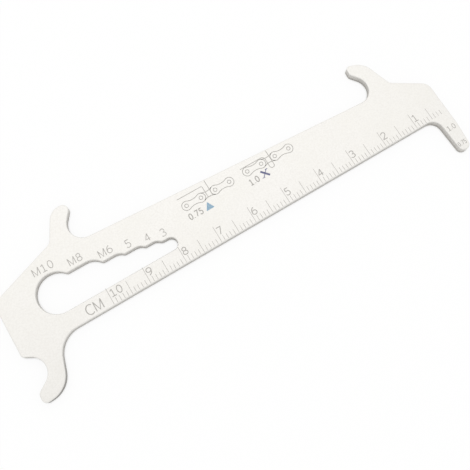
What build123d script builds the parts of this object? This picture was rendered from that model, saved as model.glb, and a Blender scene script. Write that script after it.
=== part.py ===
from build123d import *
import os
from math import asin, atan2, cos, hypot, pi, radians, sqrt, tan

# A chain wear gauge: one flat stamping with a stepped slot for bolt sizes. All sizes in millimetres.
# The plate is drawn with x from its left edge and y from its ruler edge, and then set on its middle.

# Sheet: the punch rolls the edges of the marked side over, and tumbling breaks those of the underside
plate_thickness = 2.2
edge_roll = 0.25
edge_break = 0.12

# Share of a side that the roundings at its two ends may take
side_share = 0.99

# Chain to be measured
pitch = 12.7
pitches_measured = 10
roller_diameter = 7.75
seat_play = 0.05

# Probe, the finger at the lower right: its outer side leans, and reads wear by how deep it drops in
wear_low = 0.75
wear_high = 1.0
depth_at_low = 9.0
depth_at_high = 5.6
lean_start = 4.0
lean_radius = 20.0
probe_drop = 11.05
probe_root_width = 4.15
probe_tip_width = 3.0
probe_root_radius = 3.0
probe_tip_radius = 1.4

# Body
depth_at_thumb = 18.3
depth_at_claw = 13.8
shoulder_height = 9.45
shoulder_radius = 3.0
crown_height = 15.05
crown_radius = 4.1
heel_height = 0.4
heel_radius = 0.75

# Each hooked piece below holds a roller in a round seat. Its corners are measured from the centre of
# the seat: back, along the plate's edge and away from the mouth, and out, away from the plate.

# Claw, the hook at the upper right
claw_inset = 18.7
claw_lip = 0.5
claw_nose_back = 1.3
claw_nose_width = 2.75
claw_back = 6.3
claw_back_out = 5.8
claw_back_radius = 5.0
claw_root_back = 9.7
claw_root_out = -2.35
claw_nose_radius = 1.0
claw_root_radius = 2.0

# Thumb, the blunt finger at the upper left
thumb_inset = 27.25
thumb_lip = 2.35
thumb_nose_back = 0.45
thumb_top_back = 5.8
thumb_top_out = 6.55
thumb_nose_radius = 1.5
thumb_top_radius = 4.0
thumb_root_back = 9.4
thumb_root_out = -1.3
thumb_root_radius = 2.5

# Hook at the lower left, which starts on the first roller: a slanting step leads down into its seat
step_angle = 29.0
hook_lip = 0.55
hook_nose_back = 2.1
hook_nose_turn = 1.3
hook_nose_width = 2.65
hook_back = 8.75
hook_back_out = 3.55
hook_nose_radius = 1.3
hook_back_radius = 6.0
hook_root = 9.6
hook_root_radius = 6.4

# Stepped slot: the thread sizes it reads, how far each width runs on past the wider one, and the
# rounding of the cusp between each two widths
thread_sizes = (10.0, 8.0, 6.0, 5.0, 4.0, 3.0)
stage_runs = (8.2, 5.8, 4.9, 3.8, 3.1)
slot_play = 0.3
slot_inset = 8.95
slot_margin = 4.55
cusp_radii = (0.6, 0.8, 0.9, 1.0, 1.8)

seat_radius = roller_diameter / 2 + seat_play


def measuring_side(wear):
    """x of the probe's outer side where it reads this percentage of wear."""
    return pitches_measured * pitch * (1 + wear / 100) - roller_diameter / 2


lean = (measuring_side(wear_high) - measuring_side(wear_low)) / (depth_at_low - depth_at_high)
plate_length = measuring_side(wear_high) + lean * (depth_at_high - lean_start)


def seated(seat, back, out, corners):
    """Corners of a hooked piece as plate points, with its seat's own corner put first.

    back and out are the directions that the corners are measured in, and the first corner is the nose.
    The seat's corner is where the plate's edge and the side from the nose would meet."""
    (nose_back, nose_out), _ = corners[0]
    nose_angle = atan2(nose_out, nose_back)
    mouth = pi - nose_angle - asin(seat_radius / hypot(nose_back, nose_out))
    seat_corner = ((seat_radius / tan(mouth / 2), -seat_radius), seat_radius)
    return [(seat + back * b + out * o, radius) for (b, o), radius in [seat_corner, *corners]]


def probe_corners():
    """The probe and the right-hand end, from the ruler edge up to the shoulder."""
    tip_outer = plate_length - lean * (probe_drop - lean_start)
    return [
        (Vector(plate_length - probe_root_width, 0), probe_root_radius),
        (Vector(tip_outer - probe_tip_width, -probe_drop), probe_tip_radius),
        (Vector(tip_outer, -probe_drop), probe_tip_radius),
        (Vector(plate_length, -lean_start), lean_radius),
        (Vector(plate_length, shoulder_height), shoulder_radius),
    ]


def upper_corners():
    """Claw and thumb, whose seats rest on the plate's slanting upper edge and face each other."""
    claw_seat_x = plate_length - claw_inset
    edge = Vector(claw_seat_x - thumb_inset, depth_at_claw - depth_at_thumb).normalized()
    out = edge.rotate(Axis.Z, 90)
    claw = seated(
        Vector(claw_seat_x, depth_at_claw) + out * seat_radius, edge, out,
        [
            ((claw_nose_back, seat_radius + claw_lip), claw_nose_radius),
            ((claw_nose_back, seat_radius + claw_lip + claw_nose_width), claw_nose_radius),
            ((claw_back, claw_back_out), claw_back_radius),
            ((claw_root_back, claw_root_out), claw_root_radius),
        ],
    )
    thumb = seated(
        Vector(thumb_inset, depth_at_thumb) + out * seat_radius, -edge, out,
        [
            ((thumb_nose_back, seat_radius + thumb_lip), thumb_nose_radius),
            ((thumb_top_back, thumb_top_out), thumb_top_radius),
            ((thumb_root_back, thumb_root_out), thumb_root_radius),
        ],
    )
    return claw[::-1] + thumb


def hook_corners():
    """The left-hand end and the hook, down to the ruler edge. The hook's seat lies under the left edge."""
    seat = Vector(0, heel_height - seat_radius / cos(radians(step_angle)))
    back = Vector(1, 0).rotate(Axis.Z, -step_angle)
    out = back.rotate(Axis.Z, -90)
    hook = seated(
        seat, back, out,
        [
            ((hook_nose_back, seat_radius + hook_lip), hook_nose_radius),
            ((hook_nose_back + hook_nose_turn, seat_radius + hook_lip + hook_nose_width), hook_nose_radius),
            ((hook_back, hook_back_out), hook_back_radius),
        ],
    )
    crown = (Vector(0, crown_height), crown_radius)
    heel = (Vector(0, heel_height), heel_radius)
    return [crown, heel, *hook, (Vector(hook_root, 0), hook_root_radius)]


def rounded(corners):
    """A face with these corners, each rounded to its radius or to what its two sides leave room for."""
    points = [point for point, _ in corners]
    count = len(points)
    cuts = []
    for i, (point, radius) in enumerate(corners):
        opening = (points[i - 1] - point).get_angle(points[(i + 1) % count] - point)
        cuts.append(radius / tan(radians(opening / 2)))
    sides = [(points[i] - points[i - 1]).length for i in range(count)]
    room = [side_share * side / (cuts[i - 1] + cuts[i]) for i, side in enumerate(sides)]
    radii = [radius * min(1, room[i], room[(i + 1) % count]) for i, (_, radius) in enumerate(corners)]
    return make_face(FilletPolyline(*points, radius=radii, close=True))


def stepped_slot():
    """One slot that narrows in steps: every stage has a round end and shares the straight lower edge."""
    widths = [size + slot_play for size in thread_sizes]
    radii = [width / 2 for width in widths]
    ends = [slot_inset + widths[0]]
    for run in stage_runs:
        ends.append(ends[-1] + run)
    tops = [Vector(end - radius, slot_margin + 2 * radius) for end, radius in zip(ends, radii)]
    cusps = [
        Vector(top.X + sqrt(radius**2 - (narrower - radius) ** 2), slot_margin + narrower)
        for top, radius, narrower in zip(tops, radii, widths[1:])
    ]
    lowest = tops[0] - Vector(0, widths[0])
    last = tops[-1] - Vector(0, widths[-1])
    edges = [Line(lowest, last), ThreePointArc(last, last + Vector(radii[-1], radii[-1]), tops[-1])]
    edges += [Line(top, cusp) for top, cusp in zip(tops[1:], cusps)]
    edges += [RadiusArc(cusp, top, -radius) for cusp, top, radius in zip(cusps[1:], tops[1:], radii[1:])]
    edges.append(ThreePointArc(cusps[0], lowest + Vector(-radii[0], radii[0]), lowest))
    slot = make_face(edges)
    for cusp, radius in zip(cusps, cusp_radii):
        slot = fillet(slot.vertices().sort_by_distance(cusp)[0], radius)
    return slot


def gauge_plate():
    """The whole stamping, centred on its own middle and lying on z = 0."""
    outline = rounded(probe_corners() + upper_corners() + hook_corners())
    blank = outline - stepped_slot()
    middle = outline.bounding_box().center()
    plate = extrude(blank.moved(Location((-middle.X, -middle.Y, 0))), plate_thickness)
    rolled = fillet(plate.faces().sort_by(Axis.Z)[-1].edges(), edge_roll)
    return chamfer(rolled.faces().sort_by(Axis.Z)[0].edges(), edge_break)


os.makedirs("parts", exist_ok=True)
plate = gauge_plate()
export_step(plate, "parts/gauge_plate.step")
print("gauge_plate", plate.bounding_box().size, "volume", round(plate.volume, 1))
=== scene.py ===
# %% [markdown]
# # A chain wear gauge
# This gauge is one flat stamping of stainless steel, about 125 mm long and 2.2 mm thick. A mechanic hangs
# its hook on a chain roller and sees how far the probe at the other end drops in. The CAD model already
# has its shape, so this scene adds what a shape doesn't hold: the tumbled steel, the sheared walls, and
# everything that is printed on the face. Each step says what the thing is and why it is made that way.

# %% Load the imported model
from math import atan2, cos, degrees, pi, radians, sin
import bmesh
import bpy
from mathutils import Matrix, Vector
from mathutils.geometry import delaunay_2d_cdt


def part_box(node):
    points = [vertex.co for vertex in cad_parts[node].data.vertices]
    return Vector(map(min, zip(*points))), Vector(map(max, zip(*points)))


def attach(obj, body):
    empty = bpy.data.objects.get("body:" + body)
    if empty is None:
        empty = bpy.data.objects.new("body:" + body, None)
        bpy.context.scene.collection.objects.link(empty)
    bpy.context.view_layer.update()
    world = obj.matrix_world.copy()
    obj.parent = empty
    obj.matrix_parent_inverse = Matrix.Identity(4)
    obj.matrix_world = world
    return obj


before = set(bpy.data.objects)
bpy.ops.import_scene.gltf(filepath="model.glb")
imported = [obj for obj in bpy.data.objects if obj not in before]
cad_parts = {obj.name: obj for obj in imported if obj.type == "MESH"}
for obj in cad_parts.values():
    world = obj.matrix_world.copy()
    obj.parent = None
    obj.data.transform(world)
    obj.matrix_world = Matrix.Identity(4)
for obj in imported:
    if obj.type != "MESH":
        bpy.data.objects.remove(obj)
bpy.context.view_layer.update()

# Sizes below are in millimetres, and Blender's are in metres
MM = 0.001

low, high = (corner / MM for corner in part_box("gauge_plate"))
print("plate, mm:", [round(v, 2) for v in low], "to", [round(v, 2) for v in high])

# %% [markdown]
# ## Small helpers
# Every colour below is written as the hex value that a paint program shows. Blender's shaders work in
# linear light, so one function turns the one into the other. Both shaders and Geometry Nodes are graphs of
# nodes, and building one takes the same three moves each time: make a node, set its properties, and fill
# or link its sockets. So one function does all three, for both kinds of graph.
#
# A socket is named by its label, or by its number where a node has several of the same label. In a Mix
# node, socket 0 is the share, 2 and 3 are two numbers, 6 and 7 two colours, and output 2 is their mix.

# %% Colour and node helpers
def linear(code):
    """The linear RGBA of an sRGB hex colour."""
    channels = [int(code[i:i + 2], 16) / 255 for i in (1, 3, 5)]
    return [c / 12.92 if c <= 0.04045 else ((c + 0.055) / 1.055) ** 2.4 for c in channels] + [1.0]


def add_node(tree, kind, sockets=None, **properties):
    """Adds a node. A socket's value is a plain value, or the output of another node to link from."""
    node = tree.nodes.new(kind)
    for name, value in properties.items():
        setattr(node, name, value)
    for socket, value in (sockets or {}).items():
        if isinstance(value, bpy.types.NodeSocket):
            tree.links.new(value, node.inputs[socket])
        else:
            node.inputs[socket].default_value = value
    return node


def empty_material(name):
    """A new material, and its node graph with nothing in it yet."""
    material = bpy.data.materials.new(name)
    material.use_nodes = True
    material.node_tree.nodes.clear()
    return material, material.node_tree


def per_metre(millimetres):
    """The scale of a pattern on Object coordinates whose features are this size."""
    return 1 / (millimetres * MM)


print("pale steel in linear light:", [round(c, 3) for c in linear("#E8E6E1")])

# %% [markdown]
# ## Tumbled stainless steel
# After punching, such plates are tumbled with ceramic chips. That takes off the burrs, rounds the edges,
# and leaves the faces satin: millions of tiny shallow dents in all directions, so that the steel looks
# pale and even, with a faint mottle and no brushing lines. The walls are another matter. A punch first
# shears the metal, which leaves a smooth band, and then tears it, which leaves a coarser grey one below.
#
# One material can hold all of it, because the normal tells a face from a wall, and the height over the
# bench tells the smooth band from the torn one. Four patterns carry the fine detail. The dents are drawn
# at about 0.4 mm, coarser than the real ones, so that they still show from a hand's distance, and the
# streaks of the walls are drawn out eight times in height, as a punch drags them.

# %% Patterns of the steel
# Size of a feature, its detail, and how much the pattern is squeezed along each axis
STEEL_PATTERNS = {
    "mottle": (9.0, 4, (1, 1, 1)),
    "dents": (0.42, 3, (1, 1, 1)),
    "grain": (0.16, 2, (1, 1, 1)),
    "streaks": (0.22, 3, (1, 1, 0.12)),
}
for name, (size, _, squeeze) in STEEL_PATTERNS.items():
    print(f"{name}: {size} mm wide, {round(size / squeeze[2], 2)} mm tall")

# %% [markdown]
# Each pattern, slope or height is then turned into a share: nothing of the surface, all of it, or something
# between. Two of the shares paint shade onto the walls. The foot of each wall is painted darker, a painted
# contact shadow where the wall stands on the floor. And the hook's walls get the darkest painted shade of
# all, which fades with the distance from its tip. What is neither face nor wall is the rolled edge between
# them, so its share is the product of two others.

# %% Shares of the steel
# What is read, where the share is nothing, where it is full, and how much a full share counts
# The hook's tip: the painted shade on the hook's walls fades out with the distance from it
HOOK_TIP = (-61.5, -15.5, 1.1)
STEEL_SHARES = {
    "wall": ("level", 0.35, 0.12, 1.0),
    "off the face": ("level", 0.998, 0.95, 1.0),
    "off the wall": ("level", 0.2, 0.5, 1.0),
    "torn": ("height", 1.15 * MM, 0.85 * MM, 1.0),
    # Painted shade at the foot of every wall, standing in for the contact shadow where it meets the floor
    "painted foot shade": ("height", 0.7 * MM, 0.1 * MM, 0.45),
    # Painted shade on the hook's walls, darkest near its tip and gone 9 mm away
    "painted hook shade": ("from the hook", 9.0 * MM, 5.0 * MM, 0.75),
    "mottle": ("mottle", 0.3, 0.7, 1.0),
    "dents": ("dents", 0.3, 0.75, 0.35),
    "streaks": ("streaks", 0.35, 0.7, 0.4),
}
print("walls, mm: smooth above and torn below", [round(v / MM, 2) for v in STEEL_SHARES["torn"][1:3]])

# %% [markdown]
# The colour is built up as a painter would: a ground, and over it one coat after another, each laid on by
# its share. Faces and walls have their own coats, and their own roughness, which a share varies too:
# a smooth sheared band mirrors the room, and a torn one scatters it.

# %% Coats of the steel
STEEL_COATS = {
    "face": ("#E8E6E1", {"mottle": "#EEECE8", "dents": "#DAD7D2", "rolled": "#EDEBE7"}),
    "wall": ("#D6D4D0", {
        # The last two wall coats are painted shade: a darker foot of each wall, and darker walls round the
        # hook
        "torn": "#CCC9C5", "streaks": "#B2AFAB", "painted foot shade": "#8A8783", "painted hook shade": "#7E7B77",
    }),
}
STEEL_ROUGHNESS = {"face": ("mottle", 0.40, 0.46), "wall": ("torn", 0.34, 0.58)}
for part, (ground, coats) in STEEL_COATS.items():
    print(part, "starts from", ground, "and has", len(coats), "coats")

# %% Steel material
def tumbled_steel():
    """Stainless steel, stamped and tumbled satin: pale faces, rolled edges, darker sheared walls, and
    painted shade at the walls' foot and round the hook.
    """
    material, tree = empty_material("stainless_steel_tumbled_satin")
    place = add_node(tree, "ShaderNodeTexCoord").outputs["Object"]
    normal = add_node(tree, "ShaderNodeNewGeometry").outputs["True Normal"]
    upward = add_node(tree, "ShaderNodeSeparateXYZ", {"Vector": normal}).outputs["Z"]
    read = {
        "level": add_node(tree, "ShaderNodeMath", {0: upward}, operation="ABSOLUTE").outputs[0],
        "height": add_node(tree, "ShaderNodeSeparateXYZ", {"Vector": place}).outputs["Z"],
        "from the hook": add_node(tree, "ShaderNodeVectorMath", {
            0: place, 1: [value * MM for value in HOOK_TIP],
        }, operation="DISTANCE").outputs["Value"],
    }
    for name, (size, detail, squeeze) in STEEL_PATTERNS.items():
        spread = add_node(tree, "ShaderNodeMapping", {"Vector": place, "Scale": squeeze}).outputs[0]
        read[name] = add_node(tree, "ShaderNodeTexNoise", {
            "Vector": spread, "Scale": per_metre(size), "Detail": detail, "Roughness": 0.55,
        }).outputs["Fac"]

    shares = {}
    for name, (source, nothing, full, most) in STEEL_SHARES.items():
        shares[name] = add_node(tree, "ShaderNodeMapRange", {
            "Value": read[source], "From Min": nothing, "From Max": full, "To Max": most,
        }, interpolation_type="SMOOTHSTEP").outputs[0]
    shares["rolled"] = add_node(tree, "ShaderNodeMath", {
        0: shares["off the face"], 1: shares["off the wall"],
    }, operation="MULTIPLY").outputs[0]

    colours, roughness = {}, {}
    for part, (ground, coats) in STEEL_COATS.items():
        colours[part] = linear(ground)
        for share, code in coats.items():
            colours[part] = add_node(tree, "ShaderNodeMix", {
                0: shares[share], 6: colours[part], 7: linear(code),
            }, data_type="RGBA").outputs[2]
    for part, (share, least, most) in STEEL_ROUGHNESS.items():
        roughness[part] = add_node(tree, "ShaderNodeMapRange", {
            "Value": shares[share], "To Min": least, "To Max": most,
        }, interpolation_type="SMOOTHSTEP").outputs[0]

    face_relief = add_node(tree, "ShaderNodeMath", {0: read["dents"], 1: read["grain"]}).outputs[0]
    relief = add_node(tree, "ShaderNodeMix", {0: shares["wall"], 2: face_relief, 3: read["streaks"]})
    bump = add_node(tree, "ShaderNodeBump", {
        "Strength": 0.5, "Distance": 0.012 * MM, "Height": relief.outputs[0],
    })
    steel = add_node(tree, "ShaderNodeBsdfPrincipled", {
        "Base Color": add_node(tree, "ShaderNodeMix", {
            0: shares["wall"], 6: colours["face"], 7: colours["wall"],
        }, data_type="RGBA").outputs[2],
        "Metallic": 1.0,
        "Roughness": add_node(tree, "ShaderNodeMix", {
            0: shares["wall"], 2: roughness["face"], 3: roughness["wall"],
        }).outputs[0],
        "Normal": bump.outputs[0],
    })
    add_node(tree, "ShaderNodeOutputMaterial", {"Surface": steel.outputs[0]})
    return material


steel = tumbled_steel()
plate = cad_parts["gauge_plate"]
for slot in plate.material_slots:
    slot.material = steel
print("steel on", plate.name, "in", len(plate.material_slots), "slot")

# %% [markdown]
# ## Printing inks
# The marks are printed and baked on the finished steel. Such ink is a hundredth of a millimetre thick,
# satin, and a little uneven where the dents show through. Three inks are used: grey for all lines and
# figures, and a blue and a navy one for the two signs that tell a worn chain from a spent one.

# %% Ink materials
def baked_ink(name, code, thin_code):
    """A printed, baked epoxy ink: satin and not metallic, paler where it lies thin over the dents."""
    material, tree = empty_material(name)
    place = add_node(tree, "ShaderNodeTexCoord").outputs["Object"]
    cover = add_node(tree, "ShaderNodeTexNoise", {
        "Vector": place, "Scale": per_metre(0.35), "Detail": 3.0,
    }).outputs["Fac"]
    thin = add_node(tree, "ShaderNodeMapRange", {
        "Value": cover, "From Min": 0.48, "From Max": 0.72,
    }, interpolation_type="SMOOTHSTEP").outputs[0]
    colour = add_node(tree, "ShaderNodeMix", {
        0: thin, 6: linear(code), 7: linear(thin_code),
    }, data_type="RGBA").outputs[2]
    bump = add_node(tree, "ShaderNodeBump", {
        "Strength": 0.4, "Distance": 0.005 * MM, "Height": cover,
    }).outputs[0]
    ink = add_node(tree, "ShaderNodeBsdfPrincipled", {
        "Base Color": colour, "Roughness": 0.5, "Normal": bump,
    })
    add_node(tree, "ShaderNodeOutputMaterial", {"Surface": ink.outputs[0]})
    return material


grey_ink = baked_ink("grey_marking_ink", "#AFACA7", "#C2BFBA")
blue_ink = baked_ink("blue_marking_ink", "#8FAEC3", "#AAC3D1")
navy_ink = baked_ink("navy_marking_ink", "#66688A", "#82849C")
print("inks:", grey_ink.name, blue_ink.name, navy_ink.name)

# %% [markdown]
# ## Turning marks into pieces
# Drawn strokes and node graphs end as the same thing here: a plain mesh that lies on the marked face and
# rides on the plate. One function does that last part. It moves the points rather than the object, so
# every object stays at the origin and the noise of the inks isn't shifted.

# %% Finishing a mark
INK_THICKNESS = 0.012
INK_SUNK = 0.003
WELD_REACH = 0.0005


def finished_mark(name, mesh, ink):
    """Makes a piece from a mesh in millimetres whose z = 0 is the marked face."""
    mesh.transform(Matrix.Scale(MM, 4) @ Matrix.Translation((0, 0, high.z - INK_SUNK)))
    welded = bmesh.new()
    welded.from_mesh(mesh)
    bmesh.ops.remove_doubles(welded, verts=welded.verts, dist=WELD_REACH * MM)
    bmesh.ops.recalc_face_normals(welded, faces=welded.faces)
    welded.to_mesh(mesh)
    welded.free()
    mesh.materials.clear()
    mesh.materials.append(ink)
    mesh.name = name
    piece = bpy.data.objects.new(name, mesh)
    bpy.context.scene.collection.objects.link(piece)
    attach(piece, "root")
    print(name, len(mesh.polygons), "faces")


def as_mesh(thing):
    """The plain mesh of an object with its modifiers, whatever it was made from. The object is used up."""
    bpy.context.scene.collection.objects.link(thing)
    bpy.context.view_layer.update()
    ready = thing.evaluated_get(bpy.context.evaluated_depsgraph_get())
    mesh = bpy.data.meshes.new_from_object(ready)
    bpy.data.objects.remove(thing)
    return mesh


def joined(meshes):
    """One mesh from several."""
    whole = bmesh.new()
    for mesh in meshes:
        whole.from_mesh(mesh)
    result = bpy.data.meshes.new("joined")
    whole.to_mesh(result)
    whole.free()
    return result


print("ink stands", round(INK_THICKNESS - INK_SUNK, 3), "mm proud of the steel")

# %% [markdown]
# ## Ruler graduations
# The straight edge carries 99 lines, one for each millimetre from 2 to 100. Drawing them by hand would be
# dull and easy to get wrong, and they follow a rule: every tenth line is long and every fifth is middling.
# Geometry Nodes are made for that. A row of points is laid out, one small block is set on each, and the
# number of the point says how long its block is. Changing one input, such as the spacing, remakes them all.
# The arithmetic of a graph is written as a table, one sum to a line: its name, what is done, and to what.

# %% Graph helpers
def new_graph(name, inputs):
    """An empty Geometry Nodes graph with these named inputs, and the sockets that give their values."""
    tree = bpy.data.node_groups.new(name, "GeometryNodeTree")
    tree.interface.new_socket("Geometry", in_out="OUTPUT", socket_type="NodeSocketGeometry")
    tree.interface.new_socket("Geometry", in_out="INPUT", socket_type="NodeSocketGeometry")
    for label, kind in inputs.items():
        tree.interface.new_socket(label, in_out="INPUT", socket_type="NodeSocket" + kind)
    return tree, {socket.name: socket for socket in tree.nodes.new("NodeGroupInput").outputs}


def close_graph(tree, geometry, ink):
    """Ends a graph: real geometry instead of instances, in its ink."""
    real = add_node(tree, "GeometryNodeRealizeInstances", {"Geometry": geometry}).outputs[0]
    inked = add_node(tree, "GeometryNodeSetMaterial", {"Geometry": real, "Material": ink}).outputs[0]
    add_node(tree, "NodeGroupOutput", {"Geometry": inked})


def run_graph(tree, values):
    """The mesh that a graph makes with these values."""
    holder = bpy.data.objects.new("holder", bpy.data.meshes.new("holder"))
    modifier = holder.modifiers.new("graph", "NODES")
    modifier.node_group = tree
    for item in tree.interface.items_tree:
        if item.in_out == "INPUT" and item.name in values:
            modifier[item.identifier] = values[item.name]
    return as_mesh(holder)


print("helpers for graphs:", new_graph.__name__, close_graph.__name__, run_graph.__name__)

# %% Graph for the graduations
def graduation_graph():
    """A row of printed lines whose lengths follow their number: tenths long, fifths middling."""
    tree, known = new_graph("ruler_graduations", {
        "Spacing": "Float", "First line": "Int", "Last line": "Int", "Line width": "Float",
        "Short length": "Float", "Half length": "Float", "Long length": "Float",
        "Ink thickness": "Float", "Ink": "Material",
    })
    known["index"] = add_node(tree, "GeometryNodeInputIndex").outputs[0]
    for name, operation, *terms in (
        ("lines after the first", "SUBTRACT", "Last line", "First line"),
        ("count", "ADD", "lines after the first", 1.0),
        ("step", "MULTIPLY", "Spacing", -1.0),
        ("start", "MULTIPLY", "step", "First line"),
        ("number", "ADD", "index", "First line"),
        ("past a fifth", "MODULO", "number", 5.0),
        ("is a fifth", "LESS_THAN", "past a fifth", 0.5),
        ("past a tenth", "MODULO", "number", 10.0),
        ("is a tenth", "LESS_THAN", "past a tenth", 0.5),
        ("half over short", "SUBTRACT", "Half length", "Short length"),
        ("long over half", "SUBTRACT", "Long length", "Half length"),
        ("short or half", "MULTIPLY_ADD", "is a fifth", "half over short", "Short length"),
        ("length", "MULTIPLY_ADD", "is a tenth", "long over half", "short or half"),
    ):
        known[name] = add_node(tree, "ShaderNodeMath", {
            i: known.get(term, term) for i, term in enumerate(terms)
        }, operation=operation).outputs[0]

    row = add_node(tree, "GeometryNodeMeshLine", {
        "Count": known["count"],
        "Start Location": add_node(tree, "ShaderNodeCombineXYZ", {"X": known["start"]}).outputs[0],
        "Offset": add_node(tree, "ShaderNodeCombineXYZ", {"X": known["step"]}).outputs[0],
    }, mode="OFFSET").outputs[0]
    block = add_node(tree, "GeometryNodeTransform", {
        "Geometry": add_node(tree, "GeometryNodeMeshCube").outputs[0], "Translation": (0, 0.5, 0.5),
    }).outputs[0]
    lines = add_node(tree, "GeometryNodeInstanceOnPoints", {
        "Points": row, "Instance": block,
        "Scale": add_node(tree, "ShaderNodeCombineXYZ", {
            "X": known["Line width"], "Y": known["length"], "Z": known["Ink thickness"],
        }).outputs[0],
    }).outputs[0]
    close_graph(tree, lines, known["Ink"])
    return tree


graduations = graduation_graph()
print(graduations.name, "has", len(graduations.nodes), "nodes")

# %% [markdown]
# The ruler reads from the probe's end: its zero lies a sixth of a millimetre inside the right-hand end
# of the plate, and the lines start where the rolled edge ends.

# %% Ruler lines
RULER_EDGE = -8.487
EDGE_ROLL = 0.25
RULER_ZERO = high.x - 0.17

ruler_lines = run_graph(graduations, {
    "Spacing": 1.0, "First line": 2, "Last line": 100, "Line width": 0.115,
    "Short length": 1.4, "Half length": 3.55, "Long length": 4.45,
    "Ink thickness": INK_THICKNESS, "Ink": grey_ink,
})
ruler_lines.transform(Matrix.Translation((RULER_ZERO, RULER_EDGE + EDGE_ROLL, 0)))
finished_mark("ruler_graduations", ruler_lines, grey_ink)

# %% [markdown]
# ## Strokes of ink
# Everything else on the face is drawn with strokes of even width. A stroke is a line of points with its two
# sides pushed out along the mitre, which keeps its width round a bend. Strokes of one drawing cross
# and overlap, and two layers of ink in the same place would make a mesh with surfaces inside it. So the
# outlines are first cut into triangles together, by the Delaunay method, and each triangle that any of
# them covers is kept once. That flat sheet is then given the thickness of the ink.

# %% Stroke and sheet helpers
BEND_STEP = 12
MITRE_LIMIT = 0.55
SAME_POINT = 1e-5


def bend(centre, wide, tall, start, end):
    """Points of an elliptical arc between two angles in degrees, one for about every BEND_STEP."""
    steps = max(3, round(abs(end - start) / BEND_STEP))
    angles = [radians(start + (end - start) * i / steps) for i in range(steps + 1)]
    return [(centre[0] + wide * cos(a), centre[1] + tall * sin(a)) for a in angles]


def stroke(points, width):
    """The outline, anticlockwise, of a line of even width through these points."""
    points = [Vector(p) for p in points]
    sides = []
    for i, point in enumerate(points):
        before = (point - points[i - 1]).normalized() if i else None
        after = (points[i + 1] - point).normalized() if i < len(points) - 1 else None
        straight = before or after
        along = (straight + (after or before)).normalized()
        across = Vector((-along.y, along.x))
        reach = width / 2 / max(MITRE_LIMIT, across.dot(Vector((-straight.y, straight.x))))
        sides.append((point + across * reach, point - across * reach))
    return [right for _, right in sides] + [left for left, _ in reversed(sides)]


def printed(outlines, thickness=INK_THICKNESS):
    """One flat piece of ink from outlines that may overlap."""
    corners, loops = [], []
    for outline in outlines:
        loops.append(list(range(len(corners), len(corners) + len(outline))))
        corners += [Vector(p) for p in outline]
    flat, _, triangles, _, _, covers = delaunay_2d_cdt(corners, [], loops, 0, SAME_POINT)
    sheet = bmesh.new()
    points = [sheet.verts.new((p.x, p.y, 0)) for p in flat]
    for triangle, outlines_over_it in zip(triangles, covers):
        if outlines_over_it:
            sheet.faces.new([points[i] for i in triangle])
    bmesh.ops.delete(sheet, geom=[v for v in sheet.verts if not v.link_faces], context="VERTS")
    raised = bmesh.ops.extrude_face_region(sheet, geom=sheet.faces[:])["geom"]
    lifted = [v for v in raised if isinstance(v, bmesh.types.BMVert)]
    bmesh.ops.translate(sheet, verts=lifted, vec=(0, 0, thickness))
    mesh = bpy.data.meshes.new("printed")
    sheet.to_mesh(mesh)
    sheet.free()
    return mesh


print("a square corner makes a stroke of", len(stroke([(0, 1), (0, 0), (1, 0)], 0.1)), "outline points")

# %% [markdown]
# ## Figures and letters
# The figures on such a gauge come from a printing plate that was itself cut with a round tool, so they
# are single strokes of even weight, and the 1 has a foot. A text object could stand in, but its font has
# its own weights and no foot. Only thirteen signs are needed, so they are written down here as a stroke
# alphabet: lines and arcs in a box one unit high. The width is the second entry of each sign.

# %% Stroke alphabet
ALPHABET = {
    "0": ([bend((0.29, 0.5), 0.29, 0.5, 0, 184), bend((0.29, 0.5), 0.29, 0.5, 180, 364)], 0.58),
    "1": ([[(0.32, 0), (0.32, 1)], [(0.34, 0.98), (0.05, 0.8)], [(0.04, 0), (0.6, 0)]], 0.62),
    "2": ([[*bend((0.29, 0.72), 0.28, 0.28, 170, -38), (0.0, 0.0)], [(-0.02, 0), (0.6, 0)]], 0.58),
    "3": ([bend((0.27, 0.755), 0.26, 0.245, 155, -90), bend((0.27, 0.255), 0.3, 0.255, 90, -155)], 0.57),
    "4": ([[(0.44, 1), (0.0, 0.28), (0.63, 0.28)], [(0.44, 1), (0.44, 0)]], 0.62),
    "5": ([[(0.54, 1), (0.1, 1), (0.07, 0.56)], bend((0.27, 0.31), 0.3, 0.31, 132, -152)], 0.57),
    "6": ([
        bend((0.3, 0.3), 0.3, 0.3, 0, 184), bend((0.3, 0.3), 0.3, 0.3, 180, 364),
        bend((0.5, 0.33), 0.5, 0.67, 180, 98),
    ], 0.6),
    "7": ([[(0, 1), (0.58, 1), (0.2, 0)]], 0.58),
    "8": ([
        bend((0.29, 0.76), 0.24, 0.24, 0, 184), bend((0.29, 0.76), 0.24, 0.24, 180, 364),
        bend((0.29, 0.26), 0.29, 0.26, 0, 184), bend((0.29, 0.26), 0.29, 0.26, 180, 364),
    ], 0.58),
    "9": ([
        bend((0.3, 0.7), 0.3, 0.3, 0, 184), bend((0.3, 0.7), 0.3, 0.3, 180, 364),
        bend((0.1, 0.67), 0.5, 0.67, 0, -82),
    ], 0.6),
    "M": ([[(0, 0), (0, 1)], [(0, 1), (0.4, 0.02), (0.8, 1)], [(0.8, 1), (0.8, 0)]], 0.8),
    "C": ([bend((0.42, 0.5), 0.42, 0.5, 48, 312)], 0.78),
    ".": ([[(0.05, -0.02), (0.05, 0.1)]], 0.1),
}


def lettering(words, corner, tall, weight, gap, stretch=1.0):
    """Stroke outlines of a line of text, from its lower left corner and its height in millimetres."""
    left, base = corner
    unit = tall - weight
    pen = left + weight / 2
    outlines = []
    for sign in words:
        strokes, wide = ALPHABET[sign]
        for points in strokes:
            placed = [(pen + x * unit * stretch, base + weight / 2 + y * unit) for x, y in points]
            outlines.append(stroke(placed, weight))
        pen += wide * unit * stretch + weight + gap
    print(words, "is", round(pen - gap - weight / 2 - left, 2), "mm wide and", tall, "mm tall")
    return outlines


print(len(ALPHABET), "signs:", " ".join(ALPHABET))

# %% [markdown]
# The ruler's figures stand just to the right of their long lines, and its unit is named beyond the last.
# Each stage of the slot has the bolt size that it reads printed above it.

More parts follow.
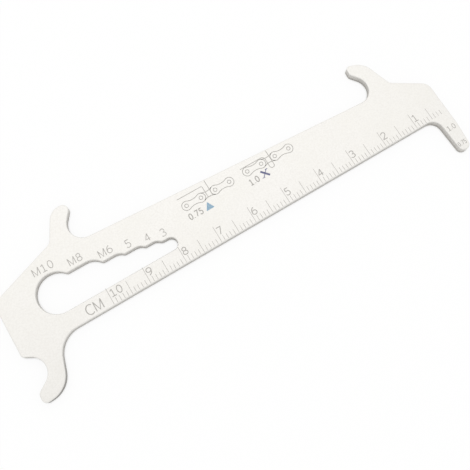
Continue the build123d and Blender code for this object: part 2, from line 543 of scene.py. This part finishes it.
# %% Figures of the ruler and the slot
RULER_FIGURES = {"tall": 2.1, "weight": 0.23, "gap": 0.28, "stretch": 1.1}
RULER_UNIT = {"tall": 2.75, "weight": 0.25, "gap": 0.13, "stretch": 0.95}
BOLT_SIZES = {"tall": 2.13, "weight": 0.19, "gap": 0.4, "stretch": 1.02}
FIGURE_BASE = -6.55
FIGURE_PAST_LINE = 0.3

ruler_figures = []
for number in range(1, 11):
    long_line = RULER_ZERO - 10 * number
    corner = (long_line + FIGURE_PAST_LINE, FIGURE_BASE)
    ruler_figures += lettering(str(number), corner, **RULER_FIGURES)
finished_mark("ruler_figures", printed(ruler_figures), grey_ink)
ruler_unit = lettering("CM", (-44.3, -7.75), **RULER_UNIT)
finished_mark("ruler_unit", printed(ruler_unit), grey_ink)

bolt_sizes = {
    "M10": (-50.89, 7.22), "M8": (-42.35, 5.24), "M6": (-35.15, 3.25),
    "5": (-28.4, 2.12), "4": (-23.6, 1.08), "3": (-19.6, 0.19),
}
size_labels = []
for words, corner in bolt_sizes.items():
    size_labels += lettering(words, corner, **BOLT_SIZES)
finished_mark("bolt_size_labels", printed(size_labels), grey_ink)

# %% [markdown]
# ## The two drawings of a chain
# Two small drawings show how to read the gauge: at 0.75 percent wear the probe only rests between two
# rollers, and at 1.0 percent it drops right through. Both show the same length of chain, so one graph
# draws it twice. A link plate is all circular arcs: a round end at each pin, and between the pins a
# waist whose arcs touch both ends. Where two arcs touch, the line between their centres passes through
# the point, and that gives the waist's radius and where each arc stops.

# %% Arcs of a link plate
PIN_SPACING = 4.15
PIN_RADIUS = 0.47
END_RADIUS = 1.22
WAIST = 0.76
ARC_POINTS = 24

waist_radius = (PIN_SPACING ** 2 / 4 + WAIST ** 2 - END_RADIUS ** 2) / (2 * (END_RADIUS - WAIST))
touch_angle = atan2(WAIST + waist_radius, PIN_SPACING / 2)
print("waist radius", round(waist_radius, 2), "mm, arcs touch at", round(degrees(touch_angle), 1), "degrees")

# %% Graph for the chain
def chain_graph():
    """A row of link plates seen from the side: pins, round ends and the waists between them."""
    tree, known = new_graph("chain_drawing", {
        "Pins": "Int", "Pin spacing": "Float", "Pin radius": "Float", "End radius": "Float",
        "Waist half height": "Float", "Waist radius": "Float", "Touch angle": "Float",
        "Line width": "Float", "Ink thickness": "Float", "Ink": "Material",
    })
    known["index"] = add_node(tree, "GeometryNodeInputIndex").outputs[0]
    for name, operation, *terms in (
        ("links", "SUBTRACT", "Pins", 1.0),
        ("half spacing", "MULTIPLY", "Pin spacing", 0.5),
        ("opening", "MULTIPLY", "Touch angle", 2.0),
        ("round end sweep", "SUBTRACT", 2 * pi, "opening"),
        ("waist sweep", "SUBTRACT", pi, "opening"),
        ("waist start", "ADD", "Touch angle", pi),
        ("waist above", "ADD", "Waist half height", "Waist radius"),
        ("waist below", "MULTIPLY", "waist above", -1.0),
        ("is odd", "MODULO", "index", 2.0),
        ("half turn", "MULTIPLY", "is odd", pi),
    ):
        known[name] = add_node(tree, "ShaderNodeMath", {
            i: known.get(term, term) for i, term in enumerate(terms)
        }, operation=operation).outputs[0]

    rows = []
    for count, start in (("Pins", 0.0), ("links", known["half spacing"])):
        rows.append(add_node(tree, "GeometryNodeMeshLine", {
            "Count": known[count],
            "Start Location": add_node(tree, "ShaderNodeCombineXYZ", {"X": start}).outputs[0],
            "Offset": add_node(tree, "ShaderNodeCombineXYZ", {"X": known["Pin spacing"]}).outputs[0],
        }, mode="OFFSET").outputs[0])
    pins, middles = rows
    arcs = []
    for radius, start, sweep in (
        ("End radius", "Touch angle", "round end sweep"), ("Waist radius", "waist start", "waist sweep"),
    ):
        arcs.append(add_node(tree, "GeometryNodeCurveArc", {
            "Resolution": ARC_POINTS, "Radius": known[radius],
            "Start Angle": known[start], "Sweep Angle": known[sweep],
        }, mode="RADIUS").outputs[0])
    round_end, waist = arcs

    waists = add_node(tree, "GeometryNodeJoinGeometry")
    for height, turn in (("waist above", 0.0), ("waist below", pi)):
        moved = add_node(tree, "GeometryNodeTransform", {
            "Geometry": waist, "Rotation": (0, 0, turn),
            "Translation": add_node(tree, "ShaderNodeCombineXYZ", {"Y": known[height]}).outputs[0],
        })
        tree.links.new(moved.outputs[0], waists.inputs[0])
    pin = add_node(tree, "GeometryNodeCurvePrimitiveCircle", {
        "Resolution": ARC_POINTS, "Radius": known["Pin radius"],
    }, mode="RADIUS").outputs[0]
    turned = add_node(tree, "ShaderNodeCombineXYZ", {"Z": known["half turn"]}).outputs[0]
    lines = add_node(tree, "GeometryNodeJoinGeometry")
    for points, shape, turn in (
        (pins, pin, (0, 0, 0)), (pins, round_end, turned), (middles, waists.outputs[0], (0, 0, 0)),
    ):
        placed = add_node(tree, "GeometryNodeInstanceOnPoints", {
            "Points": points, "Instance": shape, "Rotation": turn,
        })
        tree.links.new(placed.outputs[0], lines.inputs[0])

    real = add_node(tree, "GeometryNodeRealizeInstances", {"Geometry": lines.outputs[0]}).outputs[0]
    level = add_node(tree, "GeometryNodeSetCurveNormal", {"Curve": real}, mode="Z_UP").outputs[0]
    nib = add_node(tree, "GeometryNodeCurvePrimitiveQuadrilateral", {
        "Width": known["Line width"], "Height": known["Ink thickness"],
    }, mode="RECTANGLE").outputs[0]
    drawn = add_node(tree, "GeometryNodeCurveToMesh", {
        "Curve": level, "Profile Curve": nib, "Fill Caps": True,
    }).outputs[0]
    close_graph(tree, drawn, known["Ink"])
    return tree


chain_drawing = chain_graph()
print(chain_drawing.name, "has", len(chain_drawing.nodes), "nodes")

# %% [markdown]
# The outline of the gauge over the chain is one open line with two or three bends: along the underside of
# its body, down one side of the probe, round the tip and up again. It belongs to the gauge and not to
# the chain, so it is a stroke of its own, laid a touch thicker over the links.

# %% The two drawings
DRAWING_LINE = 0.17
PROBE_WIDE = 1.28
BODY_OVERHANG = 0.15
UPPER_INK = 1.1 * INK_THICKNESS


def wear_drawing(first_pin, body_line, shoulder, probe_left, probe_tip, probe_top, tip_radius):
    """A stretch of chain with the outline of the gauge on it, placed by the first pin."""
    x, y = first_pin
    chain = run_graph(chain_drawing, {
        "Pins": 4, "Pin spacing": PIN_SPACING, "Pin radius": PIN_RADIUS, "End radius": END_RADIUS,
        "Waist half height": WAIST, "Waist radius": waist_radius, "Touch angle": touch_angle,
        "Line width": DRAWING_LINE, "Ink thickness": INK_THICKNESS, "Ink": grey_ink,
    })
    chain.transform(Matrix.Translation((x, y, INK_THICKNESS / 2)))
    probe_right = probe_left + PROBE_WIDE
    tip = probe_tip + tip_radius
    line = [
        (x - END_RADIUS - BODY_OVERHANG, body_line),
        *bend((probe_left - shoulder, body_line - shoulder), shoulder, shoulder, 90, 0),
        *bend((probe_left + tip_radius, tip), tip_radius, tip_radius, 180, 270),
        *bend((probe_right - tip_radius, tip), tip_radius, tip_radius, 270, 360),
        (probe_right, probe_top),
    ]
    return joined([chain, printed([stroke(line, DRAWING_LINE)], UPPER_INK)])


low_drawing = wear_drawing(
    first_pin=(-10.47, 4.22), body_line=6.75, shoulder=0.35,
    probe_left=-4.63, probe_tip=3.42, probe_top=7.75, tip_radius=0.3,
)
high_drawing = wear_drawing(
    first_pin=(7.4, 4.24), body_line=5.6, shoulder=0.75,
    probe_left=13.1, probe_tip=1.9, probe_top=6.75, tip_radius=0.6,
)
finished_mark("wear_drawing_low", low_drawing, grey_ink)
finished_mark("wear_drawing_high", high_drawing, grey_ink)

# %% [markdown]
# Under each drawing stands its wear in percent and a sign: a blue triangle for a chain to be changed soon,
# and a navy cross for one that is spent. The cross is two crossing strokes as a broad pen draws them,
# a heavy one and a light one with short feet. The same two figures are printed on the probe.

# %% Figures and signs for wear
wear_figures = [
    *lettering("0.75", (-11.52, 0.31), tall=1.83, weight=0.27, gap=0.13, stretch=0.87),
    *lettering("1.0", (6.17, 0.36), tall=1.83, weight=0.27, gap=0.12, stretch=0.92),
    *lettering("1.0", (59.0, -13.3), tall=1.5, weight=0.18, gap=0.13),
    *lettering("0.75", (58.9, -18.25), tall=1.3, weight=0.16, gap=0.1, stretch=0.77),
]
finished_mark("wear_figures", printed(wear_figures), grey_ink)

triangle = printed([[(-6.85, 0.45), (-4.55, 0.45), (-5.62, 2.5)]])
finished_mark("wear_triangle", triangle, blue_ink)

HEAVY, LIGHT, FOOT = 0.52, 0.2, 0.16
cross = printed([
    stroke([(10.22, 2.5), (11.97, 0.55)], HEAVY),
    stroke([(11.92, 2.4), (10.17, 0.65)], LIGHT),
    stroke([(11.52, 2.4), (12.27, 2.4)], FOOT),
    stroke([(9.82, 0.65), (10.57, 0.65)], FOOT),
])
finished_mark("wear_cross", cross, navy_ink)

# %% [markdown]
# ## Floor
# A product like this is photographed on a white table. The floor is a white matt surface, large enough to
# fill any view. What a ray sees of it depends on the ray. For the camera the floor is mostly glow, so it
# is lifted to the even white of a well lit table and keeps only a trace of the plate's shadow. A
# reflection sees much less of that glow: the sheared walls mirror the floor right beside them, and
# with the full glow they would shine as if lit from below. Under the plate's edge no light gets in, and
# there the glow gives way altogether, over less than half a millimetre. That thin dark seam is
# what makes the plate lie on the table instead of floating in white.

# %% White floor
GLOW_FOR_CAMERA = 0.9
GLOW_IN_REFLECTIONS = 0.15
SEAM_REACH = 0.45


def white_table():
    """A matt white table top: nearly pure white to the camera, duller to reflections, dark at a seam."""
    material, tree = empty_material("white_table")
    ray = add_node(tree, "ShaderNodeLightPath").outputs
    straight = add_node(tree, "ShaderNodeMath", {
        0: ray["Is Camera Ray"], 1: ray["Is Transmission Ray"],
    }, operation="MAXIMUM").outputs[0]
    mirrored = add_node(tree, "ShaderNodeMath", {
        0: ray["Is Glossy Ray"], 1: GLOW_IN_REFLECTIONS,
    }, operation="MULTIPLY").outputs[0]
    share = add_node(tree, "ShaderNodeMath", {
        0: straight, 1: GLOW_FOR_CAMERA, 2: mirrored,
    }, operation="MULTIPLY_ADD").outputs[0]
    open_sky = add_node(tree, "ShaderNodeAmbientOcclusion", {"Distance": SEAM_REACH * MM}, samples=8)
    share = add_node(tree, "ShaderNodeMath", {
        0: share, 1: open_sky.outputs["AO"],
    }, operation="MULTIPLY").outputs[0]
    matt = add_node(tree, "ShaderNodeBsdfDiffuse", {"Color": linear("#FBFBFA")})
    glow = add_node(tree, "ShaderNodeEmission", {"Color": (1, 1, 1, 1), "Strength": 1.0})
    surface = add_node(tree, "ShaderNodeMixShader", {0: share, 1: matt.outputs[0], 2: glow.outputs[0]})
    add_node(tree, "ShaderNodeOutputMaterial", {"Surface": surface.outputs[0]})
    return material


FLOOR_DROP = 0.02
FLOOR_HALF = 2.0  # metres
floor_mesh = bpy.data.meshes.new("floor")
floor_mesh.from_pydata(
    [(x * FLOOR_HALF, y * FLOOR_HALF, -FLOOR_DROP * MM) for x, y in ((-1, -1), (1, -1), (1, 1), (-1, 1))],
    [], [(0, 1, 2, 3)],
)
floor_mesh.materials.append(white_table())
floor = bpy.data.objects.new("floor", floor_mesh)
bpy.context.scene.collection.objects.link(floor)
print("floor", 2 * FLOOR_HALF, "m wide")

# %% [markdown]
# ## Light
# Steel shows what it reflects, so satin steel needs a large even light more than a bright one. The world
# gives a soft white surround, and one panel a metre wide hangs over the back of the table. From above,
# the face mirrors the panel's side of the room and looks pale, while the walls towards the
# camera mirror the other side and look darker. Their sum is kept at the level where a matt surface renders
# about in its own colour. Past the table's far edge the camera itself sees the surround as pure white,
# so that no horizon shows.

# %% World and lamp
ROOM_LIGHT = 0.92
WHITE_FOR_CAMERA = 1.0

world = bpy.data.worlds.new("white_studio")
world.use_nodes = True
world_tree = world.node_tree
world_tree.nodes.clear()
to_camera = add_node(world_tree, "ShaderNodeLightPath").outputs["Is Camera Ray"]
strength = add_node(world_tree, "ShaderNodeMapRange", {
    "Value": to_camera, "To Min": ROOM_LIGHT, "To Max": WHITE_FOR_CAMERA,
}).outputs[0]
surround = add_node(world_tree, "ShaderNodeBackground", {"Color": (1, 1, 1, 1), "Strength": strength})
add_node(world_tree, "ShaderNodeOutputWorld", {"Surface": surround.outputs[0]})
bpy.context.scene.world = world

# In metres and watts
PANEL_PLACE = Vector((0.05, 0.24, 0.55))
PANEL_WIDE, PANEL_DEEP, PANEL_POWER = 1.0, 0.5, 0.57

lamp = bpy.data.lights.new("overhead_panel", "AREA")
lamp.shape, lamp.size, lamp.size_y, lamp.energy = "RECTANGLE", PANEL_WIDE, PANEL_DEEP, PANEL_POWER
panel = bpy.data.objects.new("overhead_panel", lamp)
panel.location = PANEL_PLACE
panel.rotation_euler = (-PANEL_PLACE).to_track_quat("-Z", "Y").to_euler()
bpy.context.scene.collection.objects.link(panel)
print("the panel hangs", round(PANEL_PLACE.length, 2), "m from the middle of the plate")

# %% [markdown]
# ## Camera
# The camera stands where the photographer's did: 156 mm from the plate, nearly straight above it, tipped
# by 15 degrees and turned so that the ruler runs up to the right. It was placed by matching the ruler's
# centimetre lines, and a 48 mm lens gives the same slight perspective.

# %% Camera
camera = bpy.data.objects.new("camera", bpy.data.cameras.new("camera"))
camera.data.sensor_width = 36
camera.data.lens = 48.18
camera.data.clip_start = 0.01
camera.location = Vector((-29.963, -38.476, 152.861)) * MM
camera.rotation_euler = [radians(angle) for angle in (14.570, -2.454, -31.447)]
bpy.context.scene.collection.objects.link(camera)
bpy.context.scene.camera = camera
bpy.context.scene.view_settings.view_transform = "Standard"
print("camera height over the bench:", round(camera.location.z / MM), "mm")
